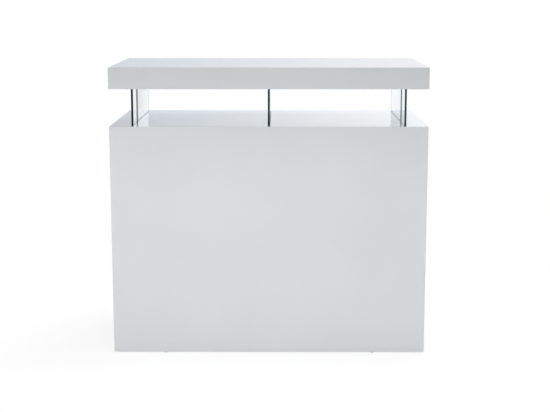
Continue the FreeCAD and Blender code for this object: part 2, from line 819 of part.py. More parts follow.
os.makedirs("parts", exist_ok=True)
for item in parts:
    item.Shape.exportStep(f"parts/{item.Label}.step")
    box = item.Shape.BoundBox
    reach = f"{box.XLength:7.1f} {box.YLength:7.1f} {box.ZLength:7.1f}"
    print(f"{item.Label:28} {len(item.Shape.Solids):3} solids {reach}")
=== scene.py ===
"""Looks of a white gloss-lacquered bar counter: a closed front, a flat deck, a thick bar slab on three
lines of clear glass, and loose shelves in the open back. Metres, +Z up, the guests' side faces -Y."""

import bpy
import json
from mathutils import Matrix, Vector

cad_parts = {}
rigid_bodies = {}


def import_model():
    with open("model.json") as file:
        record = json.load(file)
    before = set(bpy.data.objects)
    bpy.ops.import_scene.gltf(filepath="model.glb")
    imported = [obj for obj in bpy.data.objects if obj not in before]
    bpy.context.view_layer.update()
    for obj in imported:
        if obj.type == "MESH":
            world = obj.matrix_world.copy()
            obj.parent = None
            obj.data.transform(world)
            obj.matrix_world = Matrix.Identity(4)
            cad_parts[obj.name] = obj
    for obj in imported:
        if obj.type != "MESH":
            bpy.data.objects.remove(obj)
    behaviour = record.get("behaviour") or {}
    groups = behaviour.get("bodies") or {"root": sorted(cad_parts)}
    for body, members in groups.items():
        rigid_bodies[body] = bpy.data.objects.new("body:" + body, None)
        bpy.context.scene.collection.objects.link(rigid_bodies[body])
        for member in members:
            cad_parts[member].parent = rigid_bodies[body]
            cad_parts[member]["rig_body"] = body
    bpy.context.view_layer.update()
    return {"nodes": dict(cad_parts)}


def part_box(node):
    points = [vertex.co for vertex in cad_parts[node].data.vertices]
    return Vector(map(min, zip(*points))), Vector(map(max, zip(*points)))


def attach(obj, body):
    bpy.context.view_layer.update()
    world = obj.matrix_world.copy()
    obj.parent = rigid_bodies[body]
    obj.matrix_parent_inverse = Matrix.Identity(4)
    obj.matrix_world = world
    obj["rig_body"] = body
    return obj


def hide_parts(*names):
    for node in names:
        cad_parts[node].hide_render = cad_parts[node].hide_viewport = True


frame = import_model()

import json
import math

import bmesh
import bpy
import numpy as np
from mathutils import Euler, Vector

MM = 0.001

# Camera ------------------------------------------------------------------------------------------

CAMERA_PLACE = (0.039, -4.530, 1.388)
CAMERA_PITCH = 9.43  # degrees below level
CAMERA_YAW = 0.21  # degrees, towards the left end
CAMERA_LENS = 74.21
CAMERA_SHIFT = -0.05
CAMERA_FAR = 60

camera_data = bpy.data.cameras.new("camera")
camera_data.lens = CAMERA_LENS
camera_data.shift_y = CAMERA_SHIFT
camera_data.clip_end = CAMERA_FAR
camera = bpy.data.objects.new("camera", camera_data)
camera.location = CAMERA_PLACE
camera.rotation_euler = Euler((math.radians(90 - CAMERA_PITCH), 0, math.radians(CAMERA_YAW)))
bpy.context.scene.collection.objects.link(camera)
bpy.context.scene.camera = camera


# Node trees --------------------------------------------------------------------------------------

NOISE_REACH = (0.3, 0.7)  # nearly all values of a noise lie between these


class Wire:
    """A socket in a node tree that takes part in sums. Each sum adds the Math node it needs."""

    def __init__(self, tree, socket):
        self.tree = tree
        self.socket = socket

    def sum(self, operation, *values):
        return self.tree.node("ShaderNodeMath", {"operation": operation}, dict(enumerate(values)))

    def __add__(self, other):
        return self.sum("ADD", self, other)

    __radd__ = __add__

    def __sub__(self, other):
        return self.sum("SUBTRACT", self, other)

    def __rsub__(self, other):
        return self.sum("SUBTRACT", other, self)

    def __mul__(self, other):
        return self.sum("MULTIPLY", self, other)

    __rmul__ = __mul__

    def __truediv__(self, other):
        return self.sum("DIVIDE", self, other)

    def __pow__(self, other):
        return self.sum("POWER", self, other)

    def __gt__(self, other):
        return self.sum("GREATER_THAN", self, other)

    def __abs__(self):
        return self.sum("ABSOLUTE", self)

    def highest(self, other):
        return self.sum("MAXIMUM", self, other)

    def lowest(self, other):
        return self.sum("MINIMUM", self, other)

    def cosine(self):
        return self.sum("COSINE", self)

    def between(self, low, high):
        """0 below low, 1 above high, and a smooth step between them."""
        limits = {"Value": self, "From Min": low, "From Max": high}
        return self.tree.node("ShaderNodeMapRange", {"interpolation_type": "SMOOTHSTEP"}, limits)


class Tree:
    """A node tree, of shaders or of geometry."""

    def __init__(self, tree, family):
        self.tree = tree
        self.family = family
        tree.nodes.clear()

    def node(self, kind, settings=(), inputs=(), output=0):
        """Any node: its settings are set first, then its sockets get their values or links."""
        made = self.tree.nodes.new(kind if "Node" in kind else self.family + kind)
        for key, value in dict(settings).items():
            if key == "stops":
                self.set_stops(made.color_ramp, value)
            else:
                setattr(made, key, value)
        for key, value in dict(inputs).items():
            if isinstance(value, Wire):
                self.tree.links.new(value.socket, made.inputs[key])
            else:
                made.inputs[key].default_value = value
        return Wire(self, made.outputs[output])

    def split(self, vector):
        """The three coordinates of a vector."""
        inputs = {"Vector": vector}
        return [self.node("ShaderNodeSeparateXYZ", {}, inputs, output=axis) for axis in "XYZ"]

    def set_stops(self, ramp, stops):
        """A ramp's stops, as (position, colour) pairs."""
        while len(ramp.elements) < len(stops):
            ramp.elements.new(1.0)
        for element, (position, colour) in zip(ramp.elements, stops):
            element.position = position
            element.color = (*colour, 1.0)


class Shader(Tree):
    """A material's or the world's node tree."""

    def __init__(self, name, owner=None):
        self.material = owner or bpy.data.materials.new(name)
        self.material.use_nodes = True
        super().__init__(self.material.node_tree, "ShaderNode")

    def place(self, scale=(1, 1, 1)):
        """Object coordinates, scaled."""
        coordinates = self.node("TexCoord", output="Object")
        return self.node("Mapping", {}, {"Vector": coordinates, "Scale": scale})

    def noise(self, scale, detail=2.0, stretch=(1, 1, 1)):
        """Noise with a grain given by its scale per metre."""
        inputs = {"Vector": self.place(stretch), "Scale": scale, "Detail": detail}
        return self.node("TexNoise", {}, inputs)

    def blend(self, factor, low, high):
        """A colour between two others."""
        settings = {"data_type": "RGBA"}
        inputs = {0: factor, 6: solid(low), 7: solid(high)}
        return self.node("Mix", settings, inputs, output=2)

    def bump(self, height, depth):
        """Relief of a depth in metres."""
        return self.node("Bump", {}, {"Height": height, "Distance": depth, "Strength": 1.0})

    def finish(self, surface):
        """Ends the tree with its surface, and gives the material."""
        output = self.tree.nodes.new("ShaderNodeOutputMaterial")
        self.tree.links.new(surface.socket, output.inputs["Surface"])
        return self.material

    def principled(self, **inputs):
        """The main shader. Names are written with underscores for spaces."""
        named = {key.replace("_", " "): value for key, value in inputs.items()}
        return self.node("BsdfPrincipled", {}, named)


def solid(colour):
    """A colour as four numbers, or a link as it is."""
    return colour if isinstance(colour, Wire) else (*colour, 1.0)


class Shape(Tree):
    """A geometry tree with named sizes. Its shape is repeated at points that say which way it faces."""

    def __init__(self, name, **sizes):
        group = bpy.data.node_groups.new(name, "GeometryNodeTree")
        super().__init__(group, "GeometryNode")
        sockets = group.interface
        sockets.new_socket("Geometry", in_out="OUTPUT", socket_type="NodeSocketGeometry")
        sockets.new_socket("Places", in_out="INPUT", socket_type="NodeSocketGeometry")
        self.identifiers = {}
        for size in sizes:
            kind = "NodeSocketInt" if isinstance(sizes[size], int) else "NodeSocketFloat"
            entrance = sockets.new_socket(size, in_out="INPUT", socket_type=kind)
            self.identifiers[size] = entrance.identifier
        material = sockets.new_socket("material", in_out="INPUT", socket_type="NodeSocketMaterial")
        self.identifiers["material"] = material.identifier
        self.sizes = sizes
        entry = group.nodes.new("NodeGroupInput")
        self.given = {socket.name: Wire(self, socket) for socket in entry.outputs if socket.name}

    def repeat(self, shape):
        """Ends the tree: the shape stands at every place, with its Z axis along the place's facing."""
        facing = self.node("InputNamedAttribute", {"data_type": "FLOAT_VECTOR"}, {"Name": "facing"})
        turn = self.node("FunctionNodeAlignRotationToVector", {"axis": "Z"}, {"Vector": facing})
        inputs = {"Points": self.given["Places"], "Instance": shape, "Rotation": turn}
        standing = self.node("InstanceOnPoints", {}, inputs)
        real = self.node("RealizeInstances", {}, {"Geometry": standing})
        finished = self.node("SetMaterial", {}, {"Geometry": real, "Material": self.given["material"]})
        exit_node = self.tree.nodes.new("NodeGroupOutput")
        self.tree.links.new(finished.socket, exit_node.inputs[0])

    def build(self, name, places, material):
        """The shape at (point, facing) pairs, as an object with a plain mesh."""
        mesh = bpy.data.meshes.new(name)
        mesh.from_pydata([point for point, _ in places], [], [])
        facing = mesh.attributes.new("facing", "FLOAT_VECTOR", "POINT")
        facing.data.foreach_set("vector", [value for _, way in places for value in way])
        piece = bpy.data.objects.new(name, mesh)
        bpy.context.scene.collection.objects.link(piece)
        modifier = piece.modifiers.new("shape", "NODES")
        modifier.node_group = self.tree
        for size, value in {**self.sizes, "material": material}.items():
            modifier[self.identifiers[size]] = value
        graph = bpy.context.evaluated_depsgraph_get()
        piece.data = bpy.data.meshes.new_from_object(piece.evaluated_get(graph))
        piece.modifiers.remove(modifier)
        bpy.data.meshes.remove(mesh)
        return piece


# Finishes ----------------------------------------------------------------------------------------


def gloss_lacquer():
    """White polished lacquer under a clear coat, with a trace of orange peel and polishing haze."""
    shader = Shader("white_lacquer")
    clouds = shader.noise(3.0).between(*NOISE_REACH)
    haze = shader.noise(60.0, 3.0).between(0.35, 0.7)
    peel = shader.noise(140.0, 1.0)
    colour = shader.blend(clouds, (0.742, 0.773, 0.797), (0.764, 0.791, 0.817))
    surface = shader.principled(
        Base_Color=colour,
        Roughness=0.16 + 0.05 * haze,
        Coat_Weight=1.0,
        Coat_Roughness=0.03,
        Coat_IOR=1.5,
        Normal=shader.bump(peel, 0.02 * MM),
    )
    return shader.finish(surface)


def melamine():
    """White melamine-faced board with a fine pearl texture."""
    shader = Shader("white_melamine")
    pearl = shader.noise(900.0, 2.0)
    clouds = shader.noise(5.0).between(*NOISE_REACH)
    colour = shader.blend(clouds, (0.765, 0.768, 0.76), (0.79, 0.792, 0.785))
    surface = shader.principled(
        Base_Color=colour,
        Roughness=0.36 + 0.16 * pearl,
        Normal=shader.bump(pearl, 0.12 * MM),
    )
    return shader.finish(surface)


def edging():
    """Glued plastic edging with faint scraper lines along it."""
    shader = Shader("white_edging")
    lines = shader.noise(1.0, 2.0, (260, 260, 260))
    wear = shader.noise(14.0, 3.0).between(0.35, 0.7)
    colour = shader.blend(wear, (0.74, 0.745, 0.74), (0.80, 0.80, 0.795))
    surface = shader.principled(
        Base_Color=colour,
        Roughness=0.30 + 0.10 * wear,
        Normal=shader.bump(lines, 0.06 * MM),
    )
    return shader.finish(surface)


def fibreboard():
    """Raw fibreboard: brown felted fibres."""
    shader = Shader("raw_fibreboard")
    fibres = shader.noise(420.0, 4.0, (1.0, 0.45, 1.0))
    lumps = shader.noise(60.0, 2.0)
    mottle = (0.6 * fibres + 0.4 * lumps).between(0.35, 0.65)
    colour = shader.blend(mottle, (0.25, 0.16, 0.085), (0.47, 0.335, 0.20))
    surface = shader.principled(
        Base_Color=colour,
        Roughness=0.9,
        Normal=shader.bump(fibres, 0.2 * MM),
    )
    return shader.finish(surface)


def pane_glass():
    """Clear float glass that lets lamps through, with a trace of green."""
    shader = Shader("clear_glass")
    drift = shader.noise(4.0).between(*NOISE_REACH)
    tint = shader.blend(drift, (0.948, 0.988, 0.985), (0.958, 0.993, 0.990))
    glass = shader.principled(Base_Color=tint, Roughness=0.0, IOR=1.52, Transmission_Weight=1.0)
    clear = shader.node("BsdfTransparent", {}, {"Color": (0.93, 0.965, 0.955, 1.0)})
    lamp = shader.node("LightPath", output="Is Shadow Ray")
    return shader.finish(shader.node("MixShader", {}, {0: lamp, 1: glass, 2: clear}))


def pane_edge():
    """Polished edge of a pane, where the light gathers to a deep green. Its darkness is painted shade
    over the glass's own green: deepest in the left line of glass, and clearest, with painted light, in
    the right one."""
    shader = Shader("glass_edge")
    along = shader.split(shader.place())[0]
    depth = shader.noise(9.0, 2.0, (1, 1, 0.3)).between(*NOISE_REACH)
    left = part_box("left_front_pane")[0].x
    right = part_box("right_front_pane")[1].x
    share = (along - left) / (right - left)
    # Painted shade and light along X: the edge is darkest at the left line of glass and lightest at the
    # right one, as the lamps fall on them.
    deep_shade_to_light_stops = [
        (0.0, (0.002, 0.016, 0.015)),
        (0.5, (0.002, 0.045, 0.043)),
        (1.0, (0.028, 0.096, 0.084)),
    ]
    clear_shade_to_light_stops = [
        (0.0, (0.004, 0.026, 0.024)),
        (0.5, (0.004, 0.072, 0.069)),
        (1.0, (0.044, 0.135, 0.118)),
    ]
    deep = shader.node("ValToRGB", {"stops": deep_shade_to_light_stops}, {0: share})
    clear = shader.node("ValToRGB", {"stops": clear_shade_to_light_stops}, {0: share})
    surface = shader.principled(
        Base_Color=shader.blend(depth, deep, clear),
        Roughness=0.12 + 0.08 * depth,
        Specular_IOR_Level=0.1,
        IOR=1.52,
    )
    return shader.finish(surface)


def satin_metal():
    """Grey anodised flat bar, brushed along its length."""
    shader = Shader("post_metal")
    brush = shader.noise(1.0, 3.0, (2600, 2600, 26))
    clouds = shader.noise(20.0).between(*NOISE_REACH)
    colour = shader.blend(brush.between(*NOISE_REACH), (0.315, 0.322, 0.328), (0.395, 0.402, 0.408))
    surface = shader.principled(
        Base_Color=colour,
        Metallic=0.15,
        Specular_IOR_Level=0.1,
        Roughness=0.60 + 0.12 * clouds,
        Normal=shader.bump(brush, 0.03 * MM),
    )
    return shader.finish(surface)


def rubber():
    """Grey channel gasket, matt and faintly dusty."""
    shader = Shader("gasket_rubber")
    dust = shader.noise(500.0, 3.0)
    colour = shader.blend(dust.between(0.4, 0.7), (0.085, 0.088, 0.09), (0.14, 0.143, 0.145))
    surface = shader.principled(
        Base_Color=colour,
        Roughness=0.6 + 0.2 * dust,
        Normal=shader.bump(dust, 0.05 * MM),
    )
    return shader.finish(surface)


def plated_steel():
    """Zinc-plated steel with the soft bluish bloom of its passivation."""
    shader = Shader("zinc_steel")
    bloom = shader.noise(90.0, 3.0).between(*NOISE_REACH)
    grain = shader.noise(1500.0, 2.0)
    colour = shader.blend(bloom, (0.50, 0.53, 0.57), (0.63, 0.63, 0.61))
    surface = shader.principled(
        Base_Color=colour,
        Metallic=1.0,
        Roughness=0.24 + 0.16 * bloom,
        Normal=shader.bump(grain, 0.02 * MM),
    )
    return shader.finish(surface)


def cast_zinc():
    """Die-cast zinc, dull and slightly grainy."""
    shader = Shader("cam_zinc")
    grain = shader.noise(1100.0, 3.0)
    tone = shader.noise(150.0, 2.0).between(*NOISE_REACH)
    colour = shader.blend(tone, (0.36, 0.37, 0.385), (0.47, 0.475, 0.48))
    surface = shader.principled(
        Base_Color=colour,
        Metallic=1.0,
        Roughness=0.42 + 0.14 * grain,
        Normal=shader.bump(grain, 0.08 * MM),
    )
    return shader.finish(surface)


def brass():
    """Turned brass with fine tool rings."""
    shader = Shader("insert_brass")
    rings = shader.noise(1.0, 1.0, (90, 90, 4200))
    tone = shader.noise(120.0, 2.0).between(*NOISE_REACH)
    colour = shader.blend(tone, (0.62, 0.44, 0.17), (0.74, 0.55, 0.25))
    surface = shader.principled(
        Base_Color=colour,
        Metallic=1.0,
        Roughness=0.26 + 0.12 * tone,
        Normal=shader.bump(rings, 0.03 * MM),
    )
    return shader.finish(surface)


def cap_plastic():
    """Moulded white plastic with a satin spark-eroded face."""
    shader = Shader("cap_plastic")
    grain = shader.noise(1600.0, 2.0)
    tone = shader.noise(30.0, 2.0).between(*NOISE_REACH)
    colour = shader.blend(tone, (0.70, 0.70, 0.685), (0.745, 0.745, 0.73))
    surface = shader.principled(
        Base_Color=colour,
        Roughness=0.42 + 0.1 * grain,
        Normal=shader.bump(grain, 0.06 * MM),
    )
    return shader.finish(surface)


def beech():
    """Steamed beech with short dark flecks along the grain."""
    shader = Shader("beech")
    grain = shader.noise(1.0, 3.0, (900, 160, 900))
    flecks = shader.noise(1.0, 1.0, (1700, 420, 1700)).between(0.6, 0.72)
    wood = shader.blend(grain.between(*NOISE_REACH), (0.52, 0.335, 0.19), (0.66, 0.46, 0.28))
    colour = shader.blend(flecks, wood, (0.30, 0.16, 0.08))
    surface = shader.principled(
        Base_Color=colour,
        Roughness=0.6,
        Normal=shader.bump(grain, 0.1 * MM),
    )
    return shader.finish(surface)


def glide_plastic():
    """Grey-white nylon, scuffed where it slides."""
    shader = Shader("glide_plastic")
    scuff = shader.noise(300.0, 4.0).between(0.4, 0.75)
    colour = shader.blend(scuff, (0.62, 0.625, 0.62), (0.46, 0.46, 0.45))
    surface = shader.principled(
        Base_Color=colour,
        Roughness=0.45 + 0.25 * scuff,
        Normal=shader.bump(scuff, 0.04 * MM),
    )
    return shader.finish(surface)


FINISHES = {
    "white_lacquer": gloss_lacquer(),
    "white_melamine": melamine(),
    "white_edging": edging(),
    "raw_fibreboard": fibreboard(),
    "clear_glass": pane_glass(),
    "post_metal": satin_metal(),
    "gasket_rubber": rubber(),
    "zinc_steel": plated_steel(),
    "cam_zinc": cast_zinc(),
    "insert_brass": brass(),
    "cap_plastic": cap_plastic(),
    "beech": beech(),
    "glide_plastic": glide_plastic(),
}
GLASS_EDGE = pane_edge()

SLOT_OF = {name: item.data.materials[0].name.split(".")[0] for name, item in frame["nodes"].items()}
BODY_OF = {name: item["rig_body"] for name, item in frame["nodes"].items()}

for name, item in frame["nodes"].items():
    item.data.materials[0] = FINISHES[SLOT_OF[name]]


# Pieces made from the frame's nodes --------------------------------------------------------------

WELD = 0.002 * MM
FLAT_ANGLE = 0.5  # degrees, up to which neighbouring faces are one flat face
BOX_SLACK = 0.02 * MM
BOARD_SHARP = 40  # degrees, from which an edge stays sharp in the light
SLAB_SHARP = 32
FITTING_SHARP = 35


def merged_copy(node):
    """A welded copy of a node's mesh, with its flat faces joined up."""
    work = bmesh.new()
    work.from_mesh(frame["nodes"][node].data)
    bmesh.ops.remove_doubles(work, verts=work.verts, dist=WELD)
    bmesh.ops.dissolve_limit(
        work,
        angle_limit=math.radians(FLAT_ANGLE),
        verts=work.verts,
        edges=work.edges,
    )
    return work


def stand_in(node, work, ending="_eased", materials=None):
    """Makes a bmesh a piece that replaces a node."""
    mesh = bpy.data.meshes.new(node + ending)
    work.to_mesh(mesh)
    work.free()
    piece = bpy.data.objects.new(node + ending, mesh)
    bpy.context.scene.collection.objects.link(piece)
    for material in materials or [FINISHES[SLOT_OF[node]]]:
        mesh.materials.append(material)
    return piece


def settle(piece, *nodes):
    """Turns a piece's modifiers into mesh, and lets it ride in place of its nodes."""
    graph = bpy.context.evaluated_depsgraph_get()
    if piece.modifiers:
        mesh = bpy.data.meshes.new_from_object(piece.evaluated_get(graph))
        piece.modifiers.clear()
        old = piece.data
        piece.data = mesh
        bpy.data.meshes.remove(old)
        mesh.name = piece.name
    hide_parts(*nodes)
    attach(piece, BODY_OF[nodes[0]])
    return piece


def box_edges(work, low, high):
    """The edges that lie on the twelve edges of a box."""
    found = []
    for edge in work.edges:
        sides = 0
        for axis in range(3):
            for level in (low[axis], high[axis]):
                if all(abs(vert.co[axis] - level) < BOX_SLACK for vert in edge.verts):
                    sides += 1
        if sides >= 2:
            found.append(edge)
    return found


def keep_flat(piece):
    """Keeps the flat faces flat in the light."""
    even = piece.modifiers.new("even", "WEIGHTED_NORMAL")
    even.weight = 100
    even.keep_sharp = True


def round_edges(piece, radius, segments):
    """Rounds the marked edges."""
    bevel = piece.modifiers.new("round", "BEVEL")
    bevel.limit_method = "WEIGHT"
    bevel.width = radius
    bevel.segments = segments
    bevel.use_clamp_overlap = True
    keep_flat(piece)


def shade(work, sharp_angle):
    """Smooth faces, with sharp edges where two faces meet at a clear angle."""
    for face in work.faces:
        face.smooth = True
    for edge in work.edges:
        edge.smooth = edge.is_manifold and edge.calc_face_angle(0) < math.radians(sharp_angle)


def eased(node, radius, segments=3):
    """A board with its outer edges eased."""
    work = merged_copy(node)
    shade(work, BOARD_SHARP)
    weight = work.edges.layers.float.new("bevel_weight_edge")
    low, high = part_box(node)
    for edge in box_edges(work, low, high):
        edge[weight] = 1.0
        edge.smooth = True
    piece = stand_in(node, work)
    round_edges(piece, radius, segments)
    return settle(piece, node)


LACQUER_RADIUS = 0.9 * MM
MELAMINE_RADIUS = 0.6 * MM
EDGING_RADIUS = 0.4 * MM
POST_RADIUS = 0.5 * MM

for node in ("front_panel", "deck_panel", "left_side_panel", "right_side_panel"):
    eased(node, LACQUER_RADIUS)
for node in ("bottom_panel", "centre_partition", "kick_board", "floor_stretcher"):
    eased(node, MELAMINE_RADIUS)
for node in sorted(frame["nodes"]):
    if node.endswith("_shelf"):
        eased(node, MELAMINE_RADIUS)
    elif node.endswith("_edging"):
        eased(node, EDGING_RADIUS)
    elif node.endswith("_rib"):
        eased(node, EDGING_RADIUS, segments=2)
    elif node.endswith("_post"):
        eased(node, POST_RADIUS)


# Bar slab: its outer edges are rounded across each mitre ------------------------------------------

SLAB_SIDES = ("top", "underside", "front", "back", "left_end", "right_end")
SLAB_BOARDS = [f"slab_{side}" for side in SLAB_SIDES]
SLAB_LOW = Vector([min(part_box(node)[0][axis] for node in SLAB_BOARDS) for axis in range(3)])
SLAB_HIGH = Vector([max(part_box(node)[1][axis] for node in SLAB_BOARDS) for axis in range(3)])
SLAB_RADIUS = 1.6 * MM
ROUND_STEPS = (15, 30, 45, 60, 75)  # degrees round an edge
CUT_SLACK = 0.001 * MM
CUT_SNAP = 0.0005 * MM
CUT_WELD = 0.005 * MM


def slab_planes():
    """Tangent planes to the rounded edges of the slab: (point, outward normal)."""
    planes = []
    for first, second in ((0, 1), (1, 2), (2, 0)):
        for first_end in (-1, 1):
            for second_end in (-1, 1):
                corner = Vector((0, 0, 0))
                for axis, end in ((first, first_end), (second, second_end)):
                    face = SLAB_HIGH if end > 0 else SLAB_LOW
                    corner[axis] = face[axis] - end * SLAB_RADIUS
                for angle in ROUND_STEPS:
                    normal = Vector((0, 0, 0))
                    normal[first] = first_end * math.cos(math.radians(angle))
                    normal[second] = second_end * math.sin(math.radians(angle))
                    planes.append((corner + SLAB_RADIUS * normal, normal))
    return planes


def trim(work, point, normal):
    """Cuts off what lies outside a plane, and closes the cut."""
    if all((vert.co - point).dot(normal) < CUT_SLACK for vert in work.verts):
        return
    bmesh.ops.bisect_plane(
        work,
        geom=work.verts[:] + work.edges[:] + work.faces[:],
        dist=CUT_SNAP,
        plane_co=point,
        plane_no=normal,
        clear_outer=True,
    )
    rim = [edge for edge in work.edges if edge.is_boundary]
    if rim:
        bmesh.ops.holes_fill(work, edges=rim, sides=0)


def slab_board(node, planes):
    """A board of the slab with its share of the rounded edges."""
    work = merged_copy(node)
    for point, normal in planes:
        trim(work, point, normal)
    bmesh.ops.remove_doubles(work, verts=work.verts, dist=CUT_WELD)
    shade(work, SLAB_SHARP)
    piece = stand_in(node, work)
    keep_flat(piece)
    return settle(piece, node)


planes = slab_planes()
for node in SLAB_BOARDS:
    slab_board(node, planes)


# Panes: arrised, with green edges -----------------------------------------------------------------

PANE_ARRIS = 0.4 * MM
WIDE_FACE = 0.9  # a pane's wide faces look along X to at least this share


def pane(node):
    """A pane with its arrises ground off. Its narrow faces take the edge's green."""
    work = merged_copy(node)
    low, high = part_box(node)
    bmesh.ops.bevel(
        work,
        geom=box_edges(work, low, high),
        offset=PANE_ARRIS,
        offset_type="OFFSET",
        segments=1,
        affect="EDGES",
        profile=0.5,
    )
    for face in work.faces:
        face.smooth = False
        face.material_index = 0 if abs(face.normal.x) > WIDE_FACE else 1
    materials = [FINISHES["clear_glass"], GLASS_EDGE]
    return settle(stand_in(node, work, "_arrised", materials), node)


for node in sorted(frame["nodes"]):
    if node.endswith("_pane"):
        pane(node)


# Fittings -----------------------------------------------------------------------------------------

REPEAT_WELD = 0.001 * MM


def islands(node):
    """The corners of each separate solid of a node, as arrays of points."""
    work = merged_copy(node)
    left = set(work.verts)
    found = []
    while left:
        reached = {left.pop()}
        grown = set(reached)
        while grown:
            grown = {edge.other_vert(vert) for vert in grown for edge in vert.link_edges} & left
            left -= grown
            reached |= grown
        found.append(np.array([vert.co for vert in reached]))
    work.free()
    return sorted(found, key=lambda points: tuple(points.min(0).round(4)))


def thin_axis(points, thickness):
    """The axis along which a solid measures its thickness."""
    spans = np.ptp(points, axis=0)
    return int(np.argmin(np.abs(spans - thickness)))


def finish_repeats(piece, node):
    """Turns a repeated shape's faces outwards, shades it and puts it in place of its node."""
    work = bmesh.new()
    work.from_mesh(piece.data)
    bmesh.ops.remove_doubles(work, verts=work.verts, dist=REPEAT_WELD)
    bmesh.ops.recalc_face_normals(work, faces=work.faces)
    shade(work, FITTING_SHARP)
    work.to_mesh(piece.data)
    work.free()
    return settle(piece, node)


def screw_thread():
    """A bar with a screw thread wound on at both ends."""
    sizes = {
        "radius": 2.5 * MM,
        "length": 180 * MM,
        "thread": 15 * MM,
        "pitch": 0.8 * MM,
        "depth": 0.35 * MM,
    }
    shape = Shape("threaded_bar", **sizes)
    radius, length, thread, pitch, depth = (shape.given[name] for name in sizes)
    root = radius - depth

    # The bar's five bands of faces become two thin ends, two shoulders and the full-sized middle.
    # Its rings of corners start at 0.1, 0.3 and 0.5 of its length from the middle.
    size = {"Vertices": 28, "Side Segments": 5, "Radius": root, "Depth": length}
    bar = shape.node("MeshCylinder", {}, size)
    x, y, z = shape.split(shape.node("InputPosition"))
    at_end = abs(z) > 0.4 * length
    thin = abs(z) > 0.2 * length
    reach = length / 2 - thread * (1 - at_end) - depth * (1 - thin)
    wide = 1 + depth / root * (1 - thin)
    height = length / 2 + z.sum("SIGN", z) * reach
    stepped = shape.node("ShaderNodeCombineXYZ", {}, {"X": x * wide, "Y": y * wide, "Z": height})
    bar = shape.node("SetPosition", {}, {"Geometry": bar, "Position": stepped})

    winding = {
        "Resolution": 18,
        "Rotations": thread / pitch,
        "Start Radius": root,
        "End Radius": root,
        "Height": thread - pitch,
    }
    spiral = shape.node("CurveSpiral", {}, winding)
    profile = shape.node("CurvePrimitiveCircle", {}, {"Resolution": 4, "Radius": depth})
    swept = {"Curve": spiral, "Profile Curve": profile, "Fill Caps": True}
    ridge = shape.node("CurveToMesh", {}, swept)
    joined = shape.node("JoinGeometry")
    shape.tree.links.new(bar.socket, joined.socket.node.inputs[0])
    for start in (pitch / 2, length - thread + pitch / 2):
        offset = shape.node("ShaderNodeCombineXYZ", {}, {"Z": start})
        wound = shape.node("Transform", {}, {"Geometry": ridge, "Translation": offset})
        shape.tree.links.new(wound.socket, joined.socket.node.inputs[0])
    shape.repeat(joined)
    return shape


DOME_POWER = 0.35  # the lower, the flatter the dome and the tighter its shoulder


def cam_cap():
    """A shallow pressed cap: a domed disc with a soft shoulder."""
    shape = Shape("cap", radius=9 * MM, height=1 * MM)
    ball = shape.node("MeshUVSphere", {}, {"Segments": 44, "Rings": 16, "Radius": 1.0})
    x, y, z = shape.split(shape.node("InputPosition"))
    radius = shape.given["radius"]
    dome = shape.given["height"] * z.highest(0.0) ** DOME_POWER
    moved = shape.node("ShaderNodeCombineXYZ", {}, {"X": x * radius, "Y": y * radius, "Z": dome})
    shape.repeat(shape.node("SetPosition", {}, {"Geometry": ball, "Position": moved}))
    return shape


CHAMFER_FROM = 0.495  # share of the dowel's length from its middle, past which only its end ring lies
CHAMFER = 0.14  # share of its radius that an end loses


def fluted_dowel():
    """A dowel with glue flutes and chamfered ends."""
    shape = Shape("dowel", radius=4 * MM, length=30 * MM, depth=0.3 * MM, flutes=12)
    radius, length = shape.given["radius"], shape.given["length"]
    size = {"Vertices": 48, "Side Segments": 20, "Radius": radius, "Depth": length}
    bar = shape.node("MeshCylinder", {}, size)
    x, y, z = shape.split(shape.node("InputPosition"))
    turn = x.sum("ARCTAN2", y, x)
    groove = shape.given["depth"] / radius * (0.5 - 0.5 * (turn * shape.given["flutes"]).cosine())
    end = abs(z) > CHAMFER_FROM * length
    scale = (1 - groove) * (1 - CHAMFER * end)
    moved = shape.node("ShaderNodeCombineXYZ", {}, {"X": x * scale, "Y": y * scale, "Z": z})
    shape.repeat(shape.node("SetPosition", {}, {"Geometry": bar, "Position": moved}))
    return shape


UP = (0.0, 0.0, 1.0)
THREADED_BAR = screw_thread()
for node in ("outer_tie_rods", "middle_tie_rod"):
    places = []
    for points in islands(node):
        low, high = points.min(0), points.max(0)
        places.append((((low[0] + high[0]) / 2, (low[1] + high[1]) / 2, low[2]), UP))
    # The rods of one node are all of one size.
    THREADED_BAR.sizes["length"] = float(high[2] - low[2])
    THREADED_BAR.sizes["radius"] = float(high[0] - low[0]) / 2
    finish_repeats(THREADED_BAR.build(f"{node}_threaded", places, FINISHES["zinc_steel"]), node)

LEVEL_SLACK = 0.1 * MM


def spread_at(points, axis, level):
    """How wide a solid's corners are spread at a level along an axis."""
    there = points[np.abs(points[:, axis] - level) < LEVEL_SLACK]
    return np.ptp(there[:, (axis + 1) % 3])


# A cap's wide face lies on the panel, so the cap looks from there towards its small face.
CAP = cam_cap()
places = []
for points in islands("cam_covers"):
    low, high = points.min(0), points.max(0)
    axis = thin_axis(points, CAP.sizes["height"])
    middle = (low + high) / 2
    outward = 1 if spread_at(points, axis, low[axis]) > spread_at(points, axis, high[axis]) else -1
    middle[axis] = low[axis] if outward > 0 else high[axis]
    places.append((tuple(middle), tuple(outward * (place == axis) for place in range(3))))
finish_repeats(CAP.build("cam_covers_domed", places, FINISHES["cap_plastic"]), "cam_covers")

DOWEL = fluted_dowel()
places = []
for points in islands("dowels"):
    low, high = points.min(0), points.max(0)
    axis = int(np.argmax(high - low))
    places.append((tuple((low + high) / 2), tuple(float(place == axis) for place in range(3))))
finish_repeats(DOWEL.build("dowels_fluted", places, FINISHES["beech"]), "dowels")


def softened(node, radius):
    """A node's small metal or plastic pieces with their sharp edges taken off."""
    work = merged_copy(node)
    shade(work, FITTING_SHARP)
    piece = stand_in(node, work, "_softened")
    bevel = piece.modifiers.new("soften", "BEVEL")
    bevel.limit_method = "ANGLE"
    bevel.angle_limit = math.radians(FITTING_SHARP)
    bevel.width = radius
    bevel.segments = 2
    keep_flat(piece)
    return settle(piece, node)


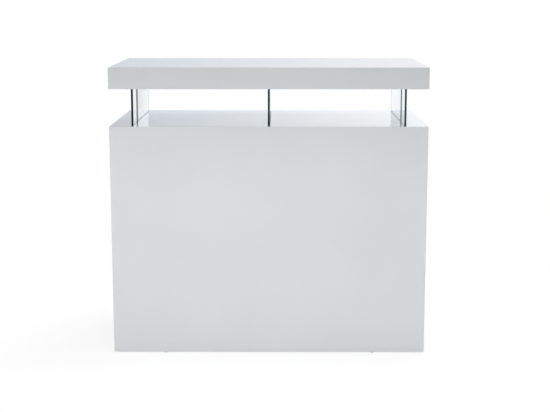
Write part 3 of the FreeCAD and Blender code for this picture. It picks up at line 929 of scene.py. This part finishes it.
SOFT_EDGES = {
    "shelf_pins": 0.25 * MM,
    "tie_rod_nuts": 0.3 * MM,
    "tie_rod_washers": 0.2 * MM,
    "cam_locks": 0.15 * MM,
    "barrel_nut": 0.2 * MM,
    "slab_inserts": 0.2 * MM,
    "floor_glides": 0.3 * MM,
    "lower_pane_gaskets": 0.12 * MM,
    "upper_pane_gaskets": 0.12 * MM,
}
for node, radius in SOFT_EDGES.items():
    softened(node, radius)


# Floor, background and light ----------------------------------------------------------------------

WHITE = (1.0, 1.0, 1.0)
FLOOR_REACH = 60.0
FLOOR_FADE = (0.9, 1.8)  # metres from the counter's middle, over which the floor turns white
FLOOR_MATT = (0.72, 0.72, 0.72)  # what the floor is to soft light
FLOOR_SOFT = (0.30, 0.30, 0.30)  # the part of its near look that takes the shadow
FLOOR_LIFT = 0.80  # the level added to that part
LIFT_DROP = 0.15  # how much less is added in reflections
GLOSSY_FLOOR = 0.8  # the far floor's level in reflections
DIM_FLOOR = (7.5, 12.0)  # metres in front of the counter, over which that level falls
DIM_DROP = 0.4


def studio_floor():
    """A pale floor that fades into the white background and keeps the counter's shadow."""
    shader = Shader("studio_floor")
    centred = shader.place()
    distance = shader.node("VectorMath", {"operation": "LENGTH"}, {0: centred}, output="Value")
    far = distance.between(*FLOOR_FADE)
    through = shader.node("LightPath", output="Is Transmission Ray")
    glossy = shader.node("LightPath", output="Is Glossy Ray") * (1.0 - through)
    seen = shader.node("LightPath", output="Is Camera Ray").highest(glossy).highest(through)
    matt = shader.node("BsdfDiffuse", {}, {"Color": solid(FLOOR_MATT)})
    soft = shader.node("BsdfDiffuse", {}, {"Color": solid(FLOOR_SOFT)})
    lift_level = FLOOR_LIFT - LIFT_DROP * glossy
    lift = shader.node("Emission", {}, {"Color": solid(WHITE), "Strength": lift_level})
    ahead = (-1.0 * shader.split(centred)[1]).between(*DIM_FLOOR)
    white_level = 1.0 - glossy * (1.0 - GLOSSY_FLOOR + DIM_DROP * ahead)
    white = shader.node("Emission", {}, {"Color": solid(WHITE), "Strength": white_level})
    near_look = shader.node("AddShader", {}, {0: soft, 1: lift})
    seen_look = shader.node("MixShader", {}, {0: far, 1: near_look, 2: white})
    return shader.finish(shader.node("MixShader", {}, {0: seen, 1: matt, 2: seen_look}))


floor_work = bmesh.new()
bmesh.ops.create_grid(floor_work, x_segments=1, y_segments=1, size=FLOOR_REACH)
floor_mesh = bpy.data.meshes.new("studio_floor")
floor_work.to_mesh(floor_mesh)
floor_work.free()
floor_mesh.materials.append(studio_floor())
floor = bpy.data.objects.new("studio_floor", floor_mesh)
bpy.context.scene.collection.objects.link(floor)

FILL_LEVEL = 0.36

# The flat tops mirror the low sky. A slope here is the upward part of a direction of length 1.
GLOSS_LEVEL = 0.80
GLOSS_FROM = 0.063  # slope above which the gloss grows
GLOSS_GROWTH = 1.6
GLOSS_LOWEST = 0.62
GLOSS_HIGHEST = 1.15
SIDE_SHARE = 0.6  # how much the gloss grows to the right, at its least
SIDE_GROWTH = 20.0
SIDE_HIGHEST = 1.6
DECK_BAND = (0.075, 0.095)  # slopes over which the deck's band of light comes up
DECK_BAND_BACK = (0.102, 0.110)  # slopes over which most of it goes again
DECK_BAND_KEPT = 0.04
DECK_BAND_LOST = 0.21
GLOSS_FALL = (0.12, 0.21)  # slopes over which the gloss falls
GLOSS_DROP = 0.7
SIDEWAYS = (0.3, 0.6)  # sideways part of a direction, over which the sky loses its tint
PANE_LEVEL = 0.93  # the sky's level through the panes straight ahead; far to a side it is 1
PANE_SIDE_SHARE = 0.5
PANE_LOWEST = 0.85
COOL_FADE = (-0.2, 0.1)  # sideways part over which one cool tint gives way to the other
COOL_LEFT = (0.945, 1.015, 1.09)
COOL_RIGHT = (1.01, 1.025, 1.06)


def studio_world():
    """White where it is seen, brighter to the right in the gloss, and an even fill for the rest."""
    world = bpy.data.worlds.new("studio")
    bpy.context.scene.world = world
    shader = Shader("studio", world)
    direction = shader.node("TexCoord", output="Generated")
    across, _, up = shader.split(direction)
    seen = shader.node("LightPath", output="Is Camera Ray")
    glossy = shader.node("LightPath", output="Is Glossy Ray")
    through = shader.node("LightPath", output="Is Transmission Ray")
    rise = (up - GLOSS_FROM).highest(0.0)
    side = (SIDE_SHARE + SIDE_GROWTH * rise).lowest(SIDE_HIGHEST)
    gloss = (GLOSS_LEVEL + side * across + GLOSS_GROWTH * rise).highest(GLOSS_LOWEST)
    band_level = DECK_BAND_KEPT + DECK_BAND_LOST * (1.0 - up.between(*DECK_BAND_BACK))
    band = up.between(*DECK_BAND) * band_level
    gloss = (gloss + band).lowest(GLOSS_HIGHEST) * (1.0 - GLOSS_DROP * up.between(*GLOSS_FALL))
    sideways = abs(across).between(*SIDEWAYS)
    pane_view = (PANE_LEVEL + PANE_SIDE_SHARE * across).highest(PANE_LOWEST).lowest(1.0)
    pane_view = pane_view + sideways * (1.0 - pane_view)
    level = FILL_LEVEL + glossy * (gloss - FILL_LEVEL)
    level = level + through * (pane_view - level)
    strength = level + seen * (1.0 - level)
    cool = shader.blend(across.between(*COOL_FADE), COOL_LEFT, COOL_RIGHT)
    tint = shader.blend(glossy.highest(through) * (1.0 - sideways), WHITE, cool)
    background = shader.node("Background", {}, {"Color": tint, "Strength": strength})
    output = shader.tree.nodes.new("ShaderNodeOutputWorld")
    shader.tree.links.new(background.socket, output.inputs["Surface"])


studio_world()

REFLECTOR_PLACE = 6.0
REFLECTOR_REACH = 0.9
REFLECTOR_HEIGHT = 0.8
REFLECTOR_COLOUR = (0.97, 1.0, 1.01)
SIDE_RIM = 0.4  # share of its reach from which the card fades to the sides
TOP_RIM = 0.6  # share of its height from which it fades upwards
# Places along X, in metres, and the card's level there.
REFLECTOR_LEVELS = [(-0.19, 1.0), (-0.155, 0.88), (-0.06, 1.0), (0.14, 1.0), (0.25, 0.62), (0.27, 0.85)]


def reflector_card():
    """The card's level, which draws a soft gradient in the panes and fades to the floor's level."""
    shader = Shader("reflector_card")
    across, _, up = shader.split(shader.place())
    share = (across + REFLECTOR_REACH) / (2 * REFLECTOR_REACH)
    stops = []
    for place, level in REFLECTOR_LEVELS:
        stops.append(((place / REFLECTOR_REACH + 1) / 2, (level, level, level)))
    ramp = shader.node("ValToRGB", {"stops": stops}, {0: share})
    level = shader.split(ramp)[0]
    rim = abs(across).between(SIDE_RIM * REFLECTOR_REACH, REFLECTOR_REACH)
    rim = rim.highest(up.between(TOP_RIM * REFLECTOR_HEIGHT, REFLECTOR_HEIGHT))
    level = level + rim * (GLOSSY_FLOOR - level)
    glow = {"Color": solid(REFLECTOR_COLOUR), "Strength": level}
    return shader.finish(shader.node("Emission", {}, glow))


card_mesh = bpy.data.meshes.new("reflector_card")
card_corners = [
    (-REFLECTOR_REACH, REFLECTOR_PLACE, 0.0),
    (REFLECTOR_REACH, REFLECTOR_PLACE, 0.0),
    (REFLECTOR_REACH, REFLECTOR_PLACE, REFLECTOR_HEIGHT),
    (-REFLECTOR_REACH, REFLECTOR_PLACE, REFLECTOR_HEIGHT),
]
card_mesh.from_pydata(card_corners, [], [(0, 1, 2, 3)])
card_mesh.materials.append(reflector_card())
card = bpy.data.objects.new("reflector_card", card_mesh)
card.visible_camera = False
card.visible_diffuse = False
card.visible_transmission = False
card.visible_shadow = False
bpy.context.scene.collection.objects.link(card)

AIM = Vector((0, 0, 0.5))


def softbox(name, place, width, height, level):
    """A soft lamp that lights a face turned to it, at its aim, to a level given as a share of white.
    It doesn't show in the gloss."""
    data = bpy.data.lights.new(name, "AREA")
    data.shape = "RECTANGLE"
    data.size = width
    data.size_y = height
    away = Vector(place) - AIM
    data.energy = level * math.pi ** 2 * away.length_squared
    lamp = bpy.data.objects.new(name, data)
    lamp.location = place
    lamp.rotation_euler = away.to_track_quat("Z", "Y").to_euler()
    lamp.visible_camera = False
    lamp.visible_glossy = False
    bpy.context.scene.collection.objects.link(lamp)


softbox("key_lamp", (-2.8, -4.2, 1.4), width=2.4, height=1.8, level=0.08)
softbox("front_lamp", (-0.1, -1.85, 0.38), width=3.0, height=0.4, level=0.41)
softbox("top_lamp", (0.2, 0.3, 3.6), width=2.6, height=2.0, level=0.30)
softbox("back_lamp", (2.2, 3.6, 1.9), width=2.4, height=1.6, level=0.40)

bpy.context.scene.view_settings.view_transform = "Standard"
